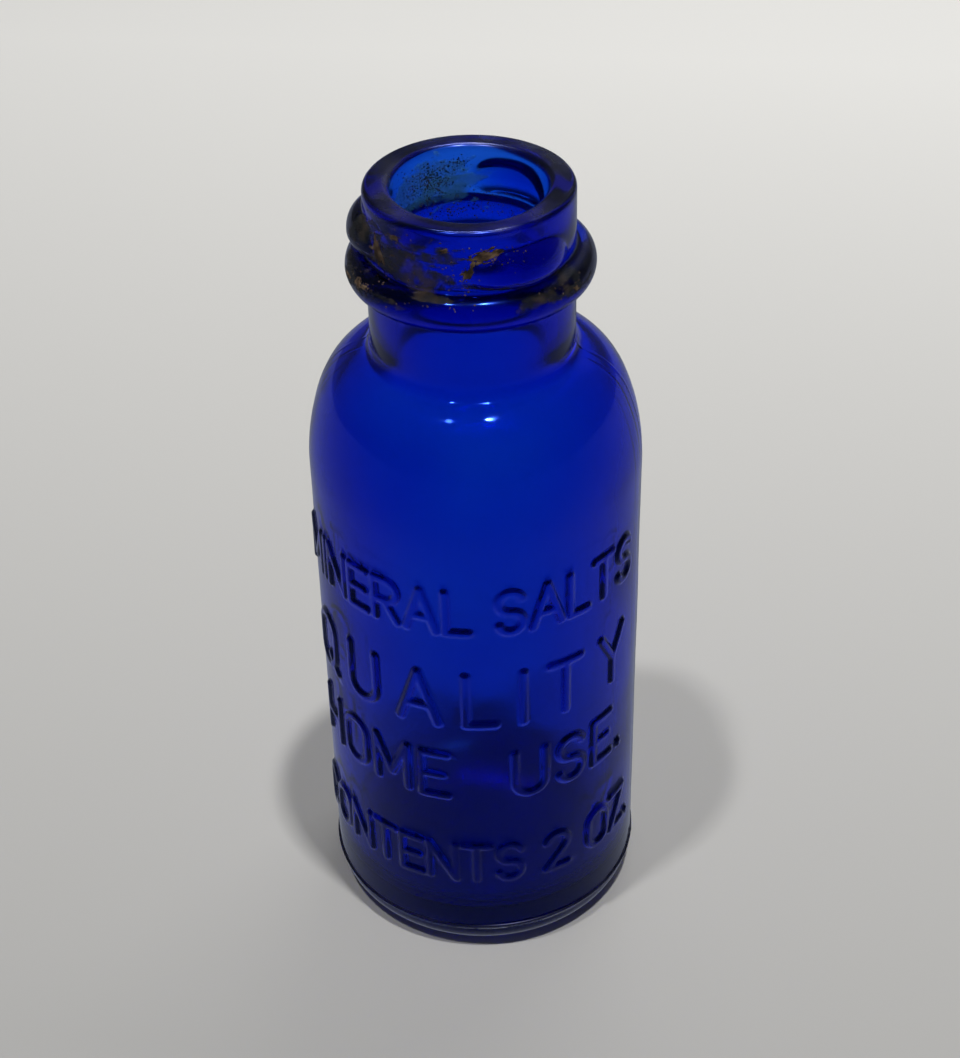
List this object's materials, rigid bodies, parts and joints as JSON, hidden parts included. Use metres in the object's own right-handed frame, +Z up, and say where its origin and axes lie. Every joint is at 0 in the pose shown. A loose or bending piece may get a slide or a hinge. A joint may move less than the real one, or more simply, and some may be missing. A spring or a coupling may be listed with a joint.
{
  "type": "antique glass bottle",
  "caption": "Small old deep-blue glass bottle: straight round body, rounded shoulder, short neck with a ring, lugged mouth without its cap, raised lettering on the front.",
  "frame": {"origin": "centre of the ring on which the bottle stands", "axes": "+Z up along the bottle's axis to the mouth; -Y is the front with the raised lettering; +X is the bottle's right as seen from the front"},
  "size_m": [0.0404, 0.0405, 0.1017],
  "materials": {
    "cobalt_glass": "glossy, slightly wavy, with small bubbles and handling haze",
    "rust_crust": "matte flaky crust",
    "dried_residue": "matte dried film"
  },
  "bodies": {
    "root": {"base": "cobalt_glass", "body_wall": "cobalt_glass", "shoulder": "cobalt_glass", "neck": "cobalt_glass", "transfer_bead": "cobalt_glass", "finish_wall": "cobalt_glass", "lip": "cobalt_glass", "cap_lug_right": "cobalt_glass", "cap_lug_rear": "cobalt_glass", "cap_lug_left": "cobalt_glass", "heel_seam": "cobalt_glass", "mould_seam_right": "cobalt_glass", "mould_seam_left": "cobalt_glass", "lettering_line_1": "cobalt_glass", "lettering_line_2": "cobalt_glass", "lettering_line_3": "cobalt_glass", "lettering_line_4": "cobalt_glass", "rust_on_finish": "rust_crust", "rust_on_bead": "rust_crust", "mouth_residue": "dried_residue"}
  },
  "joints": []
}
